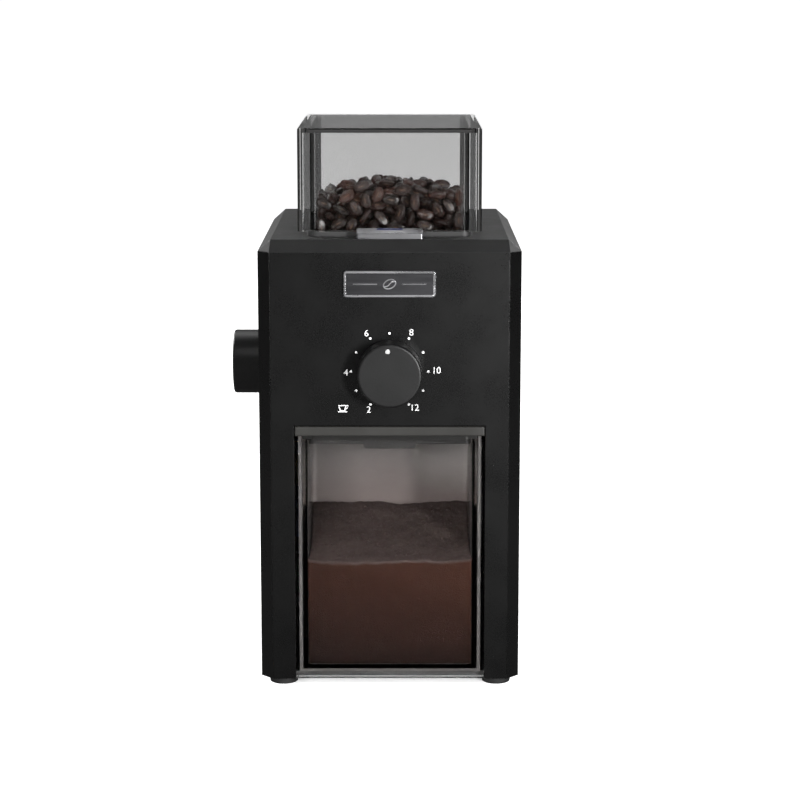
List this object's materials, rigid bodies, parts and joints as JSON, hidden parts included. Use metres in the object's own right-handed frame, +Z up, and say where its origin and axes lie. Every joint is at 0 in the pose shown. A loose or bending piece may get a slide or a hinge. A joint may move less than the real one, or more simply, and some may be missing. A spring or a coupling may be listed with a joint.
{
  "type": "burr coffee grinder",
  "caption": "Countertop electric burr grinder with a lidded clear bean hopper, cup and grind dials and a pull-out grounds container.",
  "frame": {"origin": "on the table, under the centre of the whole grinder's bounding box", "axes": "+Z up, -Y towards the user (front with cup dial and container), +X to the user's right; the grind dial is on the -X side"},
  "size_m": [0.134, 0.163, 0.26],
  "materials": {
    "black_plastic": "moulded ABS, satin gloss",
    "inner_plastic": "moulded, matt",
    "dial_plastic": "moulded ABS, satin gloss",
    "clear_plastic": "clear SAN, light smoke tint",
    "smoke_plastic": "SAN, smoke tint",
    "smoke_lid_plastic": "moulded, gloss",
    "rubber": "moulded",
    "badge_metal": "brushed plate",
    "silver_button": "silver paint",
    "screw_steel": "zinc plated",
    "plate_steel": "zinc plated sheet",
    "shaft_steel": "ground",
    "burr_steel": "hardened and ground",
    "rotor_steel": "laminated stack",
    "bronze": "sintered, oiled",
    "copper": "turned copper bars",
    "magnet": "sintered",
    "gear_plastic": "acetal",
    "switch_plastic": "moulded",
    "board": "glass-fibre board"
  },
  "bodies": {
    "housing": {"housing_shell": "black_plastic", "front_panel": "black_plastic", "top_cover": "black_plastic", "base_plate": "inner_plastic", "rear_cover": "black_plastic", "rubber_feet": "rubber", "badge_plate": "badge_metal", "cord_gland": "rubber", "rear_cover_screws": "screw_steel", "base_screws": "screw_steel", "gear_plate_screws": "screw_steel", "hopper": "clear_plastic", "hopper_funnel": "inner_plastic", "switch_bracket": "plate_steel", "start_switch": "switch_plastic", "lid_switch": "switch_plastic", "container_switch": "switch_plastic", "container_bay": "inner_plastic", "outlet_chute": "inner_plastic", "potentiometer": "plate_steel", "grind_bush": "gear_plastic", "idler_pin": "shaft_steel", "lower_gear_plate": "plate_steel", "upper_gear_plate": "plate_steel", "plate_posts": "plate_steel", "grinding_chamber": "inner_plastic", "burr_bearing_lower": "bronze", "burr_bearing_upper": "bronze", "motor_can": "plate_steel", "motor_end_cap": "inner_plastic", "motor_bushes": "bronze", "motor_magnets": "magnet", "motor_brushes": "magnet", "control_board": "board", "relay": "switch_plastic", "capacitor": "board", "button_spring": "shaft_steel"},
    "lid": {"hopper_lid": "clear_plastic"},
    "drawer": {"container": "smoke_plastic", "container_lid": "smoke_lid_plastic"},
    "cup_dial": {"cup_knob": "dial_plastic", "cup_knob_shaft": "shaft_steel"},
    "grind_dial": {"grind_knob": "dial_plastic", "grind_shaft": "shaft_steel", "grind_pinion": "gear_plastic"},
    "ring": {"adjust_ring": "gear_plastic"},
    "carrier": {"upper_burr_carrier": "inner_plastic", "upper_burr": "burr_steel"},
    "button": {"start_button": "silver_button"},
    "burr_rotor": {"burr_shaft": "shaft_steel", "burr_gear": "gear_plastic", "impeller": "gear_plastic", "lower_burr": "burr_steel", "burr_nut": "screw_steel"},
    "idler": {"idler_gear": "gear_plastic"},
    "motor_rotor": {"motor_shaft": "shaft_steel", "motor_pinion": "bronze", "motor_rotor": "rotor_steel", "commutator": "copper"}
  },
  "joints": [
    {"name": "lid_lift", "type": "slide", "parent": "housing", "child": "lid", "axis": [0, 0, 1], "range_m": [0, 0.06]},
    {"name": "container_pull", "type": "slide", "parent": "housing", "child": "drawer", "axis": [0, -1, 0], "range_m": [0, 0.09]},
    {"name": "cup_dial_turn", "type": "hinge", "parent": "housing", "child": "cup_dial", "pos_m": [0.007, -0.075, 0.1504], "axis": [0, -1, 0], "range_deg": [-150, 150]},
    {"name": "grind_dial_turn", "type": "hinge", "parent": "housing", "child": "grind_dial", "pos_m": [-0.053, -0.021, 0.147], "axis": [1, 0, 0], "range_deg": [-135, 135]},
    {"name": "ring_turn", "type": "hinge", "parent": "housing", "child": "ring", "pos_m": [0.007, -0.021, 0.16], "axis": [0, 0, 1], "range_deg": [-32, 32]},
    {"name": "burr_lift", "type": "slide", "parent": "housing", "child": "carrier", "axis": [0, 0, 1], "range_m": [-0.00081, 0.00081]},
    {"name": "button_press", "type": "slide", "parent": "housing", "child": "button", "axis": [0, 0, -1], "range_m": [0, 0.002], "stiffness_N_per_m": 300, "springref_m": -0.002, "deforming": ["button_spring"]},
    {"name": "motor_spin", "type": "hinge", "parent": "housing", "child": "motor_rotor", "pos_m": [0.007, 0.041, 0.1], "axis": [0, 0, 1], "continuous": true},
    {"name": "idler_spin", "type": "hinge", "parent": "housing", "child": "idler", "pos_m": [0.007, 0.017, 0.136], "axis": [0, 0, 1], "continuous": true},
    {"name": "burr_spin", "type": "hinge", "parent": "housing", "child": "burr_rotor", "pos_m": [0.007, -0.021, 0.14], "axis": [0, 0, 1], "continuous": true}
  ],
  "couplings": [
    {"joint": "ring_turn", "follows": "grind_dial_turn", "ratio": 0.23529},
    {"joint": "burr_lift", "follows": "grind_dial_turn", "m_per_rad": 0.00033953},
    {"joint": "idler_spin", "follows": "motor_spin", "ratio": -0.30435},
    {"joint": "burr_spin", "follows": "motor_spin", "ratio": 0.068724}
  ]
}
